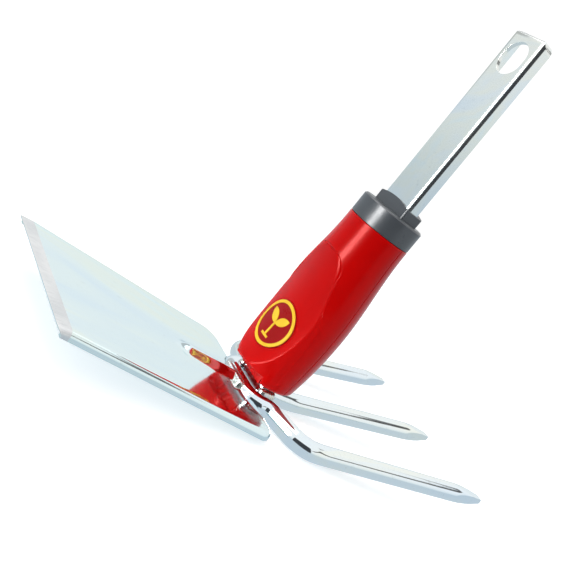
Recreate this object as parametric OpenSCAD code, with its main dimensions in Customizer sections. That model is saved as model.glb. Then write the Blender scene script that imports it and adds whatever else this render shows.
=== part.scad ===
// Head of a plug-in double hoe: a draw-hoe blade on one side and three round tines on the other,
// on a pressed sheet-steel tang that pushes into a handle socket. Millimetres.
// The Z axis is the axis of the handle. Z = 0 is the seat where the handle meets the end cap.
// +X points to the blade, -X to the tines, and Y = 0 is the mirror plane of the whole head.

/* [Tang] */
// Width of the pressed channel across its face
tang_w = 20; // [16:0.5:20]
// Depth of the channel, face to flange edge
tang_d = 6.6; // [5:0.1:8]
// Sheet thickness of the channel
tang_t = 2; // [1.5:0.1:2.4]
// Distance from the handle axis to the front face
tang_face = 3.9; // [3:0.1:4.4]
// Length of the tang above the handle seat
tang_top = 91; // [70:1:120]
// Width of the latch slot
slot_w = 12.6; // [8:0.1:14]
// Height of the latch slot
slot_h = 15; // [13:0.5:24]
// Distance from the end of the tang to the top of the slot
slot_margin = 4.6; // [4:0.1:10]

/* [Grip] */
// Radius of the grey end cap
cap_r = 15.5; // [14:0.1:16]
// Height of the visible band of the end cap
cap_h = 9.9; // [6:0.1:14]
// Height of the guide boss at its corners, above the seat
boss_h = 4.5; // [3:0.1:8]
// Radius of the sleeve where it meets the end cap
sleeve_top_r = 15.6; // [14:0.1:16]
// Largest radius of the sleeve
sleeve_r = 19.1; // [17:0.1:22]
// Distance from the top of the sleeve down to its largest radius
sleeve_swell = 51; // [40:1:56]
// Length of the red sleeve
sleeve_l = 84.5; // [70:0.5:88]
// Wall thickness of the sleeve shells
wall = 3; // [2:0.1:3.4]
// Outer radius of the round badge
badge_r = 11.8; // [8:0.1:12]

/* [Blade] */
// Length of the blade from the front of the bow to the cutting edge
blade_reach = 109; // [80:1:130]
// Half of the width of the blade
blade_half_w = 40.2; // [30:0.1:45]
// Sheet thickness of the blade
blade_t = 2; // [1.5:0.1:2.5]
// Angle by which the blade rises towards its cutting edge
blade_rise = 6.1; // [0:0.1:12]
// Depth of the turned-down side flanges, from the top face
flange_d = 3.6; // [2.6:0.1:6]
// Length of the ground bevel
bevel_l = 6; // [3:0.5:9]
// Length of the raised stiffening bead
bead_l = 37; // [20:1:60]

/* [Tines] */
// Diameter of the tine rods
rod_d = 9.3; // [8:0.1:9.6]
// Distance from the handle axis to the tine tips, along the ground
tine_reach = 131; // [110:1:150]
// Angle by which each outer tine spreads sideways
tine_splay = 5.9; // [2:0.1:10]
// Angle by which the tines rise towards their tips
tine_rise = 6.8; // [2:0.1:10]
// Length of the forged point
point_l = 23; // [12:1:30]
// Half width of the blunt tip
point_half_w = 1.9; // [0.8:0.1:3]
// Half height of the blunt tip
point_half_h = 1; // [0.5:0.1:2]

/* [Hidden] */
$fn = 64;
eps = 0.01;
far = 200;
rod_r = rod_d / 2;

// Height of the bow's plane: the axis of the rods where they cross under the tang
bow_z = -102.7;
// Axis of the rod where it crosses the front of the tang
bow_x = tang_face + rod_r + 0.1;
tang_bottom = bow_z - rod_r;
// Outer and inner radii of the tang's folds, and of the corners of its closed end
tang_fold_r = 2.8;
tang_corner_r = 4.2;
tang_inner_fold_r = 0.9;
tang_inner_corner_r = 2.4;
sleeve_top = -cap_h;
sleeve_bottom = sleeve_top - sleeve_l;
// The two grip shells meet on this plane, behind the tang's face
parting_x = -3.8;
// Below its largest radius the sleeve narrows by sleeve_taper over sleeve_taper_l
sleeve_taper = 1.8;
sleeve_taper_l = 27;
sleeve_edge_r = 2.4;
// Cross ribs inside the sleeve
rib_t = 2.5;
rib_gap = 16;
rib_offset = 4;

// End cap: chamfer, spigot in the sleeve, and the guide boss round the tang with its arched top
cap_chamfer = 0.8;
spigot_l = 5.8;
boss_back = 6;
boss_front = 5;
boss_half_w = 11;
boss_corner_r = 1.2;
boss_crown = 1.6;
boss_arch_r = 37;

// Plan of half the bow: straight across the tang, round its corner and along its side,
// out to the tine's line, and back to the tine's own direction. Headings are from +Y towards -X.
cross_l = 7.2;
hug_r = 7.55;
hug_turn = 80;
hug_l = 0.4;
flare_r = 7.6;
flare_heading = 21;
flare_l = 11;
elbow_r = 12.6;
lift_r = 60;
rod_sides = 24;

// Recess for the thumb: its floor is part of a ring about an axis parallel to Y
recess_ring_r = 142;
recess_z = sleeve_top - 49;
recess_floor_x = 12.6;
recess_crown_r = 45;
recess_top = sleeve_top - 17.3;
recess_corner_r = 9;
recess_half_top = 12.5;
recess_half_low = 18;
badge_z = sleeve_top - 60;
badge_t = 1;
badge_proud = 0.3;
emblem_t = 0.3;
// Ring and seedling printed on the badge
ring_inset = 0.4;
ring_w = 1.5;
stem_top = 1;
stem_l = 7.6;
stem_w = 1.1;
leaf_l = 8.6;
leaf_w = 4;
leaf_turn = 128;
ground_x = 6.4;
ground_w = 5.2;
notch_x = 10;
notch_h = 4;

// Origin of the blade's own frame: a point on the centre line of its top face
blade_root_x = 11.7;
blade_root_z = -101.1;
blade_back = 6;
corner_r = 9;
front_corner_r = 3;
fold_r = 2.6;
// The ground strip falls by edge_drop on top and leaves an edge of edge_t
edge_drop = 0.5;
edge_t = 0.3;
bead_half_w = 5.5;
bead_h = 2.4;

// Radii of the weld beads, and how far the blade's weld reaches to each side
blade_weld_r = 2.4;
blade_weld_half = 6.5;
bow_weld_r = 2.7;
tine_weld_r = 2.6;

function sleeve_radius(depth) = depth < sleeve_swell
    ? sleeve_top_r + (sleeve_r - sleeve_top_r) * (1 - cos(180 * depth / sleeve_swell)) / 2
    : sleeve_r - sleeve_taper * pow((depth - sleeve_swell) / sleeve_taper_l, 2);

// Rectangle with its corners rounded, from (x0, y0) to (x1, y1)
module rounded_rect(x0, y0, x1, y1, r) {
  translate([x0 + r, y0]) square([x1 - x0 - 2 * r, y1 - y0]);
  translate([x0, y0 + r]) square([x1 - x0, y1 - y0 - 2 * r]);
  for (x = [x0 + r, x1 - r], y = [y0 + r, y1 - r]) translate([x, y]) circle(r);
}

// Box with rounded vertical edges at the front, and a rounded top, as a pressed sheet has.
// half_w: half width in Y, x0 to x1: depth, z0 to z1: height, r: fold radius, tr: corner radius
module pressed_block(half_w, x0, x1, z0, z1, r, tr) {
  intersection() {
    translate([0, 0, z0]) linear_extrude(z1 - z0) rounded_rect(x0 - far, -half_w, x1, half_w, r);
    rotate([90, 0, 90]) translate([0, 0, x0]) linear_extrude(x1 - x0)
      rounded_rect(-half_w, z0 - far, half_w, z1, tr);
    translate([0, half_w, 0]) rotate([90, 0, 0]) linear_extrude(2 * half_w)
      rounded_rect(x0 - far, z0 - far, x1, z1, r);
  }
}

// Outer form of the tang, grown by g on every side
module tang_form(g = 0) {
  pressed_block(tang_w / 2 + g, tang_face - tang_d - g, tang_face + g, tang_bottom, tang_top + g,
                tang_fold_r, tang_corner_r);
}

module latch_slot() {
  slot_r = slot_w / 2;
  slot_top = tang_top - slot_margin;
  slot_low = slot_top - slot_h;
  rotate([90, 0, 90]) translate([0, 0, -far / 2]) linear_extrude(far) {
    translate([0, slot_top - slot_r]) circle(slot_r);
    translate([0, slot_low + slot_r]) circle(slot_r);
    translate([-slot_r, slot_low + slot_r]) square([slot_w, slot_h - slot_w]);
  }
}

module tang() {
  color("lightsteelblue") difference() {
    tang_form();
    pressed_block(tang_w / 2 - tang_t, tang_face - tang_d - far / 2, tang_face - tang_t,
                  tang_bottom - far, tang_top - tang_t, tang_inner_fold_r, tang_inner_corner_r);
    latch_slot();
  }
}

// Solid of the sleeve inside a skin of thickness inset
module sleeve_form(inset = 0) {
  steps = 28;
  low = sleeve_l - inset;
  straight_low = low - sleeve_edge_r;
  rotate_extrude($fn = 96) polygon(concat(
    [[0, sleeve_top - inset]],
    [for (i = [0:steps]) let (depth = inset + (straight_low - inset) * i / steps)
      [sleeve_radius(depth) - inset, sleeve_top - depth]],
    [for (a = [15:15:90]) [sleeve_radius(straight_low) - inset - sleeve_edge_r * (1 - cos(a)),
      sleeve_top - straight_low - sleeve_edge_r * sin(a)]],
    [[0, sleeve_top - low]]));
}

// Everything in front of the recess floor, moved out by proud
module recess_space(proud = 0) {
  translate([recess_floor_x + recess_ring_r, 0, recess_z]) rotate([90, 0, 0])
    rotate_extrude($fn = 240) difference() {
      translate([recess_ring_r / 2, -20]) square([recess_ring_r / 2 + 10, 40]);
      translate([recess_ring_r + recess_crown_r - proud, 0]) circle(recess_crown_r, $fn = 160);
    }
}

// Thumb recess: its outline seen from the front is an arch that widens downwards
module thumb_recess() {
  corner_y = recess_half_top - recess_corner_r;
  corner_z = recess_top - recess_corner_r;
  intersection() {
    recess_space();
    rotate([90, 0, 90]) linear_extrude(far) {
      for (side = [-1, 1]) translate([side * corner_y, corner_z]) circle(recess_corner_r);
      translate([-corner_y, corner_z]) square([2 * corner_y, recess_corner_r]);
      polygon([[-recess_half_top, corner_z], [recess_half_top, corner_z],
               [recess_half_low, recess_z], [recess_half_low, sleeve_bottom - 5],
               [-recess_half_low, sleeve_bottom - 5], [-recess_half_low, recess_z]]);
    }
  }
}

// Turns its children so that Z is the outward direction at the badge and the origin its centre
module at_badge() {
  lean = asin((recess_z - badge_z) / recess_ring_r);
  translate([recess_floor_x + recess_ring_r * (1 - cos(lean)), 0, badge_z])
    rotate([0, 90 - lean, 0]) children();
}

// Layer that follows the recess floor, from low to high above it, inside the extruded children
module badge_layer(low, high) {
  intersection() {
    at_badge() translate([0, 0, -6]) linear_extrude(12) children();
    difference() {
      recess_space(low);
      recess_space(high);
    }
  }
}

module badge_pocket() {
  at_badge() translate([0, 0, -6]) linear_extrude(14) circle(badge_r);
}

// The sleeve as one body, hollow, with cross ribs that hold the tang
module sleeve_body() {
  difference() {
    sleeve_form();
    thumb_recess();
    difference() {
      intersection() {
        sleeve_form(wall);
        translate([-far, -far, -far]) cube([far + recess_floor_x - wall - 0.4, 2 * far, far]);
      }
      for (i = [1:4]) translate([-far, -far, sleeve_top - rib_offset - i * rib_gap])
        cube([2 * far, 2 * far, rib_t]);
    }
    tang_form(0.1);
    translate([0, 0, sleeve_top - 6]) cylinder(r = cap_r - wall, h = 6 + eps);
    intersection() {
      badge_pocket();
      recess_space(-badge_t);
    }
    translate([notch_x, -far, sleeve_bottom - eps]) cube([far, 2 * far, notch_h]);
  }
}

module front_shell() {
  color([0.80, 0.05, 0.04]) intersection() {
    sleeve_body();
    translate([parting_x, -far, -far]) cube(2 * far);
  }
}

module rear_shell() {
  color([0.72, 0.04, 0.04]) intersection() {
    sleeve_body();
    translate([parting_x - 2 * far, -far, -far]) cube(2 * far);
  }
}

module badge_disc() {
  color([0.68, 0.04, 0.05]) badge_layer(-badge_t, badge_proud) circle(badge_r - 0.1);
}

// A leaf between two arcs, lying along +X from the origin
module leaf(length, width) {
  r = (length * length / 4 + width * width / 4) / width;
  intersection() {
    translate([length / 2, r - width / 2]) circle(r, $fn = 96);
    translate([length / 2, width / 2 - r]) circle(r, $fn = 96);
  }
}

// Ring and seedling: local X points down the grip
module badge_emblem() {
  color([0.98, 0.78, 0.14]) badge_layer(badge_proud, badge_proud + emblem_t) {
    difference() {
      circle(badge_r - ring_inset);
      circle(badge_r - ring_inset - ring_w);
    }
    translate([-stem_top, -stem_w / 2]) square([stem_l, stem_w]);
    for (side = [-1, 1]) rotate(side * leaf_turn) leaf(leaf_l, leaf_w);
    translate([ground_x, -ground_w / 2]) square([stem_w, ground_w]);
  }
}

module end_cap() {
  spigot_r = cap_r - wall - 0.1;
  color([0.27, 0.29, 0.32]) difference() {
    union() {
      translate([0, 0, -cap_h]) cylinder(r = cap_r, h = cap_h - cap_chamfer);
      translate([0, 0, -cap_chamfer]) cylinder(r1 = cap_r, r2 = cap_r - cap_chamfer, h = cap_chamfer);
      translate([0, 0, -cap_h - spigot_l]) cylinder(r = spigot_r, h = spigot_l + 0.2);
      intersection() {
        translate([0, 0, -1]) linear_extrude(boss_h + boss_crown + 2)
          rounded_rect(-boss_back, -boss_half_w, boss_front, boss_half_w, boss_corner_r);
        translate([0, 0, boss_h + boss_crown - boss_arch_r]) rotate([0, 90, 0])
          cylinder(r = boss_arch_r, h = 40, center = true, $fn = 180);
      }
    }
    tang_form(0.05);
  }
}

// Places its children in the blade's own frame: X along the blade, Z up out of its top face
module in_blade_frame() {
  translate([blade_root_x, 0, blade_root_z]) rotate([0, -blade_rise, 0]) children();
}

// Outline of the sheet, grown by g, with its corners rounded
module blade_outline(g = 0) {
  half = blade_half_w + g;
  back = -blade_back - g;
  front = blade_reach + g;
  translate([back, -half + corner_r]) square([corner_r, 2 * (half - corner_r)]);
  translate([back + corner_r, -half]) square([front - front_corner_r - back - corner_r, 2 * half]);
  translate([front - front_corner_r, -half + front_corner_r])
    square([front_corner_r, 2 * (half - front_corner_r)]);
  for (side = [-1, 1]) {
    translate([back + corner_r, side * (half - corner_r)]) circle(corner_r);
    translate([front - front_corner_r, side * (half - front_corner_r)]) circle(front_corner_r);
  }
}

// Cross-section of the folded sheet in the blade's frame, drawn across Y and Z, drop below the top
module fold_section(drop) {
  half = blade_half_w - drop;
  r = fold_r - drop;
  translate([-half + r, -far - drop]) square([2 * (half - r), far]);
  translate([-half, -far - r - drop]) square([2 * half, far]);
  for (side = [-1, 1]) translate([side * (half - r), -r - drop]) circle(r);
}

module blade_bead() {
  bead_r = (bead_half_w * bead_half_w + bead_h * bead_h) / (2 * bead_h);
  intersection() {
    union() {
      translate([-blade_back, 0, bead_h - bead_r]) rotate([0, 90, 0])
        cylinder(r = bead_r, h = bead_l + blade_back - bead_half_w);
      translate([bead_l - bead_half_w, 0, bead_h - bead_r]) sphere(bead_r);
    }
    translate([-20, -far, -0.5]) cube([far, 2 * far, 10]);
  }
}

// Notch in the blade's root that the bow fits, seen from above
module bow_notch() {
  notch_r = hug_r + rod_r + 0.1;
  notch_centre_x = bow_x - hug_r;
  translate([0, 0, bow_z - 10]) linear_extrude(30) {
    for (side = [-1, 1]) translate([notch_centre_x, side * cross_l]) circle(notch_r);
    translate([notch_centre_x - far, -cross_l]) square([far + notch_r, 2 * cross_l]);
  }
}

module blade() {
  bevel_start = blade_reach - bevel_l;
  flange_end = blade_reach - front_corner_r;
  inner_half = blade_half_w - fold_r - eps;
  color("lightsteelblue") difference() {
    in_blade_frame() {
      difference() {
        intersection() {
          translate([0, 0, -flange_d]) linear_extrude(flange_d) blade_outline();
          rotate([90, 0, 90]) translate([0, 0, -20]) linear_extrude(far) fold_section(0);
        }
        // hollow of the folded sheet
        intersection() {
          translate([0, 0, -far]) linear_extrude(far) blade_outline(-blade_t);
          rotate([90, 0, 90]) translate([0, 0, -20]) linear_extrude(far) fold_section(blade_t);
        }
        // the flanges stop before the cutting edge
        translate([flange_end, -far, -blade_t - far]) cube([far, 2 * far, far]);
        // ground strip on top, and the wider grind below
        translate([bevel_start, -far, 0]) rotate([0, atan(edge_drop / bevel_l), 0]) cube([far, 2 * far, far]);
        translate([bevel_start, -inner_half, -blade_t])
          rotate([0, -atan((blade_t - edge_drop - edge_t) / bevel_l), 0])
            translate([0, 0, -far]) cube([far, 2 * inner_half, far]);
      }
      blade_bead();
    }
    bow_notch();
  }
}

// End of a bend of radius r that starts at p with heading h and turns by dh, to the left if dh > 0
function bend_end(p, h, r, dh) =
  p + sign(dh) * r * ([-sin(h), cos(h)] - [-sin(h + dh), cos(h + dh)]);
function bend_points(p, h, r, dh, n) = [for (i = [1:n]) bend_end(p, h, r, dh * i / n)];
function along(p, h, length) = p + length * [cos(h), sin(h)];
function at_height(points, z) = [for (p = points) [p[0], p[1], z]];

// Rising end of a tine from p with heading h: a lift bend, then straight to the tip at x = -tine_reach.
// Each entry is a point and the half width and half height that the forging leaves there.
function tine_run(p, h) =
  let (ground_l = (tine_reach + p[0]) / -cos(h),
       arc_l = lift_r * sin(tine_rise),
       arc_z = lift_r * (1 - cos(tine_rise)),
       point_start = ground_l - point_l * cos(tine_rise),
       lift_steps = 3,
       point_steps = 6)
  concat(
    [for (i = [1:lift_steps]) let (a = tine_rise * i / lift_steps, q = along(p, h, lift_r * sin(a)))
      [[q[0], q[1], bow_z + lift_r * (1 - cos(a))], rod_r, rod_r]],
    [for (i = [0:point_steps])
      let (ground = point_start + (ground_l - point_start) * i / point_steps,
           q = along(p, h, ground),
           t = i / point_steps)
      [[q[0], q[1], bow_z + arc_z + (ground - arc_l) * tan(tine_rise)],
       rod_r + (point_half_w - rod_r) * t,
       rod_r + (point_half_h - rod_r) * t]]);

function half_bow() =
  let (corner = [bow_x, cross_l],
       side_start = bend_end(corner, 90, hug_r, hug_turn),
       side_end = along(side_start, 90 + hug_turn, hug_l),
       flare_start = bend_end(side_end, 90 + hug_turn, flare_r, flare_heading - hug_turn),
       flare_end = along(flare_start, 90 + flare_heading, flare_l),
       elbow_turn = 90 - tine_splay - flare_heading,
       elbow_end = bend_end(flare_end, 90 + flare_heading, elbow_r, elbow_turn),
       plan = concat([corner], bend_points(corner, 90, hug_r, hug_turn, 9), [side_end],
                     bend_points(side_end, 90 + hug_turn, flare_r, flare_heading - hug_turn, 7),
                     [flare_end], bend_points(flare_end, 90 + flare_heading, elbow_r, elbow_turn, 7)))
  concat([for (p = at_height(plan, bow_z)) [p, rod_r, rod_r]],
         tine_run(elbow_end, 180 - tine_splay));

function mirrored(run) = [for (i = [len(run) - 1:-1:0])
  [[run[i][0][0], -run[i][0][1], run[i][0][2]], run[i][1], run[i][2]]];

// Rod along the points of a run. Each ring is a circle clipped to the half width and half height.
module rod_along(run) {
  n = len(run);
  function direction(i) =
    let (d = run[min(i + 1, n - 1)][0] - run[max(i - 1, 0)][0]) d / norm(d);
  function ring(i) =
    let (forward = direction(i),
         across = cross(forward, [0, 0, 1]) / norm(cross(forward, [0, 0, 1])),
         up = cross(across, forward))
    [for (j = [0:rod_sides - 1]) let (a = 360 * j / rod_sides)
      run[i][0] + across * max(-run[i][1], min(run[i][1], rod_r * cos(a)))
                + up * max(-run[i][2], min(run[i][2], rod_r * sin(a)))];
  rings = [for (i = [0:n - 1]) each ring(i)];
  walls = [for (i = [0:n - 2], j = [0:rod_sides - 1])
    let (a = i * rod_sides + j,
         b = i * rod_sides + (j + 1) % rod_sides)
    each [[a, b, b + rod_sides], [a, b + rod_sides, a + rod_sides]]];
  start_cap = [for (j = [rod_sides - 1:-1:0]) j];
  end_cap_face = [for (j = [0:rod_sides - 1]) (n - 1) * rod_sides + j];
  polyhedron(rings, concat(walls, [start_cap], [end_cap_face]), convexity = 6);
}

module outer_tine_bow() {
  color("lightsteelblue") rod_along(concat(mirrored(half_bow()), half_bow()));
}

// Centre tine: it starts against the inside of the tang's face and rises to its tip
module centre_tine() {
  start = [tang_face - tang_t, 0];
  lift_start = [-23, 0];
  color("lightsteelblue")
    rod_along(concat([for (p = at_height([start, lift_start], bow_z)) [p, rod_r, rod_r]],
                     tine_run(lift_start, 180)));
}

// Straight stretches of the rods at the neck
module bow_crossing() {
  translate([bow_x, 0, bow_z]) rotate([90, 0, 0]) cylinder(r = rod_r, h = 30, center = true);
}

module centre_tine_root() {
  translate([tang_face - tang_t, 0, bow_z]) rotate([0, -90, 0]) cylinder(r = rod_r, h = 20);
}

// The bow beside the tang, taken as straight
module bow_side(side) {
  translate([0, side * (cross_l + hug_r), bow_z]) rotate([0, 90, 0]) cylinder(r = rod_r, h = 30, center = true);
}

// Straight bead with round ends between two points on a line parallel to X
module bead_along_x(x0, x1, y, z, r) {
  translate([x0, y, z]) sphere(r);
  translate([x1, y, z]) sphere(r);
  translate([x0, y, z]) rotate([0, 90, 0]) cylinder(r = r, h = x1 - x0);
}

// Weld between the front of the bow and the notch in the blade
module blade_weld() {
  color([0.62, 0.66, 0.68]) difference() {
    for (level = [bow_z + 2.2, bow_z - 1.9]) translate([bow_x + rod_r - 0.3, 0, level]) {
      rotate([90, 0, 0]) cylinder(r = blade_weld_r, h = 2 * blade_weld_half, center = true);
      for (side = [-1, 1]) translate([0, side * blade_weld_half, 0]) sphere(blade_weld_r);
    }
    bow_crossing();
    blade();
  }
}

// Welds that hold the bow to the two sides of the tang
module bow_weld() {
  color([0.62, 0.66, 0.68]) difference() {
    for (side = [-1, 1]) bead_along_x(-2.2, 2.4, side * (tang_w / 2 + 1), bow_z + 4.2, bow_weld_r);
    for (side = [-1, 1]) bow_side(side);
    tang_form();
  }
}

// Welds that hold the centre tine in the channel of the tang
module tine_weld() {
  inner_half = tang_w / 2 - tang_t;
  color([0.62, 0.66, 0.68]) difference() {
    for (side = [-1, 1]) bead_along_x(-2.4, 1, side * (rod_r + 1.2), bow_z + 3, tine_weld_r);
    centre_tine_root();
    difference() {
      tang_form(0.5);
      translate([-far, -inner_half, -far]) cube([far + tang_face - tang_t, 2 * inner_half, far]);
    }
  }
}

tang();
end_cap();
front_shell();
rear_shell();
badge_disc();
badge_emblem();
blade();
outer_tine_bow();
centre_tine();
blade_weld();
bow_weld();
tine_weld();
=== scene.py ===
import math

import bmesh
import bpy
from mathutils import Matrix, Vector, noise


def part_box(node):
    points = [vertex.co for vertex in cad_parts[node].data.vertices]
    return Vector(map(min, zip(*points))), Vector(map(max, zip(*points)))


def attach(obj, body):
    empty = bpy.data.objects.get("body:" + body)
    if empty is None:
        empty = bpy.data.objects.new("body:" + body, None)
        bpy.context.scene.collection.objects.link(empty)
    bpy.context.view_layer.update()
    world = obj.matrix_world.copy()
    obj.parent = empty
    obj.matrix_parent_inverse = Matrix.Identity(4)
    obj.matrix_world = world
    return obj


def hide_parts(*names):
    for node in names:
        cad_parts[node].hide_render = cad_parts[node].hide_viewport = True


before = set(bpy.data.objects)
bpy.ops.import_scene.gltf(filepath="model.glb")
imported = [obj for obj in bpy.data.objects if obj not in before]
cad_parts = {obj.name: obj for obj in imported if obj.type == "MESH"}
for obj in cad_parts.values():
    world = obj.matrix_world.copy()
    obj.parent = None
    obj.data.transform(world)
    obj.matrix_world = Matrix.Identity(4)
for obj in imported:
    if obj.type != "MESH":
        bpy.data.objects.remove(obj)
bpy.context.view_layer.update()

# Everything is built in millimetres in the row frame and scaled by MM on its way into Blender.
MM = 0.001
FLOOR_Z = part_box("outer_tine_bow")[0][2]

# Dimensions shared with the CAD model
ROD_R = 4.65
BOW_Z = -102.7
BOW_X = 8.65
CROSS_L = 7.2
HUG_R = 7.55
HUG_TURN = 80.0
HUG_L = 0.4
FLARE_R = 7.6
FLARE_HEADING = 21.0
FLARE_L = 11.0
ELBOW_R = 12.6
LIFT_R = 60.0
TINE_REACH = 131.0
TINE_SPLAY = 5.9
TINE_RISE = 6.8
POINT_L = 23.0
POINT_HALF_W = 1.9
POINT_HALF_H = 1.0
CENTRE_START_X = 1.9
CENTRE_LIFT_X = -23.0

SLEEVE_TOP = -9.9
SLEEVE_L = 84.5
SLEEVE_TOP_R = 15.6
SLEEVE_R = 19.1
SLEEVE_SWELL = 51.0
SLEEVE_TAPER = 1.8
SLEEVE_TAPER_L = 27.0
SLEEVE_EDGE_R = 2.4
PARTING_X = -3.8
RECESS_RING_R = 142.0
RECESS_Z = -58.9
RECESS_FLOOR_X = 12.6
RECESS_CROWN_R = 45.0
RECESS_TOP = -27.2
RECESS_CORNER_R = 9.0
RECESS_HALF_TOP = 12.5
RECESS_HALF_LOW = 18.0
NOTCH_X = 10.0
NOTCH_H = 4.0
BADGE_Z = -69.9
BADGE_R = 11.8
TANG_HALF_W = 10.0
TANG_FRONT_X = 3.9
TANG_BACK_X = -2.7

BLADE_ROOT_X = 11.7
BLADE_ROOT_Z = -101.1
BLADE_RISE = 6.1
BLADE_REACH = 109.0
BLADE_BACK = 6.0
BLADE_HALF_W = 40.2
BLADE_T = 2.0
BLADE_CORNER_R = 9.0
FOLD_R = 2.6
FLANGE_D = 3.6
FRONT_CORNER_R = 3.0
BEVEL_L = 6.0
EDGE_DROP = 0.5
EDGE_T = 0.3
BEAD_L = 37.0
BEAD_HALF_W = 5.5
BEAD_H = 2.4

# Dimensions that only the visual model has
SKIN = 2.2                  # wall of the grip shells
LIP_R = 0.42                # rounding of the lips along the parting line
SEAM_GAP = 0.05             # half of the gap between the two shells
SEAM_STEPS = (0.0, 0.06, 0.16, 0.3, 0.46, 0.7, 1.1, 1.6)   # columns beside the parting line
TOP_GAP = 0.28              # joint between the sleeve and the end cap
TOP_EDGE_R = 0.4
NOTCH_EDGE_R = 0.3          # rounding of the sleeve's lower edge at the notch
FILLET = 0.4                # rounding of the recess's wall
GROOVE_DEPTH = 0.34         # fine line inside the outline of the recess
BADGE_GROOVE_DEPTH = 0.3
HOLE_GAP = 0.15             # clearance round the tang in the sleeve's lower end
SIDE_COLUMNS = 44
FLOOR_COLUMNS = 90
REAR_COLUMNS = 90
BLADE_EDGE_R = 0.25
BLADE_SAG = 0.12            # slight hollow of the sheet between its edges
BLADE_SETTLE = 24.0         # rows follow the root's outline up to here
BEAD_GROOVE = 0.75          # share of the bead's height pressed in from below
RIPPLE_L = 1.5              # length of one weld puddle
RIPPLE = 0.07


# ---------------------------------------------------------------- small helpers

def clamp01(t):
    return max(0.0, min(1.0, t))


def smoothstep(low, high, value):
    t = clamp01((value - low) / (high - low))
    return t * t * (3 - 2 * t)


def soft_min(a, b, k):
    h = max(k - abs(a - b), 0.0) / k
    return min(a, b) - h * h * k / 4


def soft_max(a, b, k):
    return -soft_min(-a, -b, k)


def mix(a, b, t):
    return a + (b - a) * t


def new_piece(name, verts, faces, materials, face_slots=None):
    """A closed, smooth-shaded mesh object from millimetre points, riding on the CAD's one body."""
    mesh = bpy.data.meshes.new(name)
    mesh.from_pydata([(v[0] * MM, v[1] * MM, v[2] * MM) for v in verts], [], faces)
    for material in materials:
        mesh.materials.append(material)
    if face_slots:
        for polygon, slot in zip(mesh.polygons, face_slots):
            polygon.material_index = slot
    bm = bmesh.new()
    bm.from_mesh(mesh)
    bmesh.ops.recalc_face_normals(bm, faces=bm.faces)
    bm.to_mesh(mesh)
    bm.free()
    mesh.shade_smooth()
    piece = bpy.data.objects.new(name, mesh)
    bpy.context.scene.collection.objects.link(piece)
    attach(piece, "root")
    return piece


def add_bevel(piece, width, segments, angle):
    bevel = piece.modifiers.new("edge_round", "BEVEL")
    bevel.width = width * MM
    bevel.segments = segments
    bevel.limit_method = "ANGLE"
    bevel.angle_limit = math.radians(angle)
    bevel.harden_normals = True


def grid_faces(rows, cols, first=0, closed=False):
    faces = []
    for i in range(rows - 1):
        for j in range(cols if closed else cols - 1):
            k = (j + 1) % cols
            faces.append((first + i * cols + j, first + i * cols + k,
                          first + (i + 1) * cols + k, first + (i + 1) * cols + j))
    return faces


def two_skins(outer, inner):
    """Faces that close two grids of the same size, given as lists of rows, into one solid."""
    rows, cols = len(outer), len(outer[0])
    verts = [p for row in outer for p in row] + [p for row in inner for p in row]
    shift = rows * cols
    faces = grid_faces(rows, cols)
    faces += [tuple(reversed(f)) for f in grid_faces(rows, cols, shift)]
    rim = list(range(cols))
    rim += [i * cols + cols - 1 for i in range(1, rows)]
    rim += [(rows - 1) * cols + j for j in range(cols - 2, -1, -1)]
    rim += [i * cols for i in range(rows - 2, 0, -1)]
    for n, a in enumerate(rim):
        b = rim[(n + 1) % len(rim)]
        faces.append((b, a, a + shift, b + shift))
    return verts, faces


# ---------------------------------------------------------------- materials

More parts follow.
